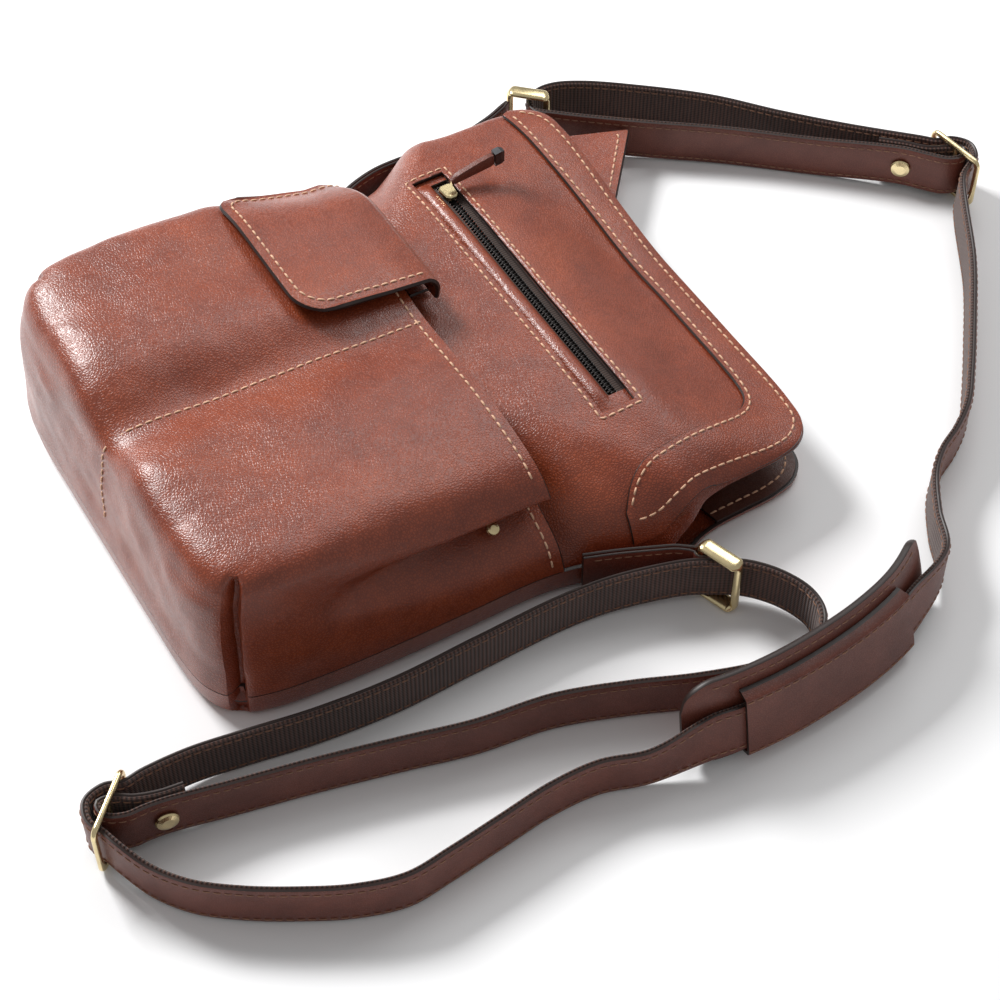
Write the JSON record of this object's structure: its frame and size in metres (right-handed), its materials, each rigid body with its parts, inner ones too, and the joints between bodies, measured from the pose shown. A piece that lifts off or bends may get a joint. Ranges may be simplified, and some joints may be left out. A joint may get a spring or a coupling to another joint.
{
  "type": "leather shoulder bag",
  "caption": "Soft leather shoulder bag lying on its back, with a boxed front pocket, rounded flap, zip pocket, zipped mouth, side rings and a long adjustable strap with shoulder pad.",
  "frame": {"origin": "on the flat back face, on the bag's centre line, 155 mm from the base end", "axes": "+X across the bag to the side with the open-topped pocket, +Y from the base to the mouth, +Z out of the front face"},
  "size_m": [0.359, 0.5107, 0.0805],
  "materials": {
    "bag_leather": "glossy pebble-grained cognac leather with dark painted edges",
    "strap_leather": "smooth dark brown leather, stitched near its edges",
    "webbing": "ribbed dark brown woven webbing",
    "zip_tape": "dark brown woven zip tape",
    "lining": "plain brown lining cloth",
    "brass": "polished pale brass plating",
    "gunmetal": "dark plated metal end",
    "magnet_steel": "plain plated steel"
  },
  "bodies": {
    "bag": {"back_panel": "bag_leather", "front_panel": "bag_leather", "lip_band": "bag_leather", "back_lip_facing": "bag_leather", "pocket_panel": "bag_leather", "pocket_divider": "bag_leather", "flap_root_strip": "bag_leather", "zip_frame": "bag_leather", "main_zip_strip_front": "bag_leather", "main_zip_strip_back": "bag_leather", "main_zip_tail_tab": "bag_leather", "side_tab_near": "strap_leather", "side_tab_far": "strap_leather", "strap_leather_layer": "strap_leather", "shoulder_pad": "strap_leather", "pad_bridge": "strap_leather", "strap_webbing_layer": "webbing", "zip_tape_upper": "zip_tape", "zip_tape_lower": "zip_tape", "main_zip_tape_front": "zip_tape", "main_zip_tape_back": "zip_tape", "zip_pocket_bag": "lining", "strap_slide_near": "brass", "strap_slide_far": "brass", "strap_rivet_near": "brass", "strap_rivet_far": "brass", "pocket_snap_near": "brass", "pocket_snap_far": "brass", "zip_chain": "brass", "zip_stop_near": "brass", "zip_stop_far": "brass", "main_zip_chain": "brass", "flap_magnet_lower": "magnet_steel"},
    "flap": {"flap": "bag_leather", "flap_magnet_upper": "magnet_steel"},
    "front_zip_slider": {"zip_slider": "brass"},
    "front_zip_puller": {"zip_puller_tab": "strap_leather", "zip_puller_end": "gunmetal"},
    "main_zip_slider": {"main_zip_slider": "brass"},
    "main_zip_puller": {"main_zip_puller": "strap_leather"},
    "near_ring": {"ring_near": "brass"},
    "far_ring": {"ring_far": "brass"}
  },
  "joints": [
    {"name": "flap_hinge", "type": "hinge", "parent": "bag", "child": "flap", "pos_m": [-0.0555, 0.011, 0.05141], "axis": [-1, 0, 0], "range_deg": [0, 75]},
    {"name": "front_zip_slide", "type": "slide", "parent": "bag", "child": "front_zip_slider", "axis": [1, 0, 0], "range_m": [0, 0.124]},
    {"name": "front_zip_puller_hinge", "type": "hinge", "parent": "front_zip_slider", "child": "front_zip_puller", "pos_m": [-0.0755, 0.051, 0.05166], "axis": [1, 0, 0], "range_deg": [0, 115]},
    {"name": "main_zip_slide", "type": "slide", "parent": "bag", "child": "main_zip_slider", "axis": [-1, 0, 0], "range_m": [0, 0.12]},
    {"name": "main_zip_puller_hinge", "type": "hinge", "parent": "main_zip_slider", "child": "main_zip_puller", "pos_m": [0.07, 0.0892, 0.0135], "axis": [0, 0, -1], "range_deg": [0, 90]},
    {"name": "near_ring_hinge", "type": "hinge", "parent": "bag", "child": "near_ring", "pos_m": [0.136, 0.046, 0.0153], "axis": [0, 0, 1], "range_deg": [-14, 4]},
    {"name": "far_ring_hinge", "type": "hinge", "parent": "bag", "child": "far_ring", "pos_m": [-0.1395, 0.121, 0.0153], "axis": [0, 0, 1], "range_deg": [-7, 10]}
  ]
}
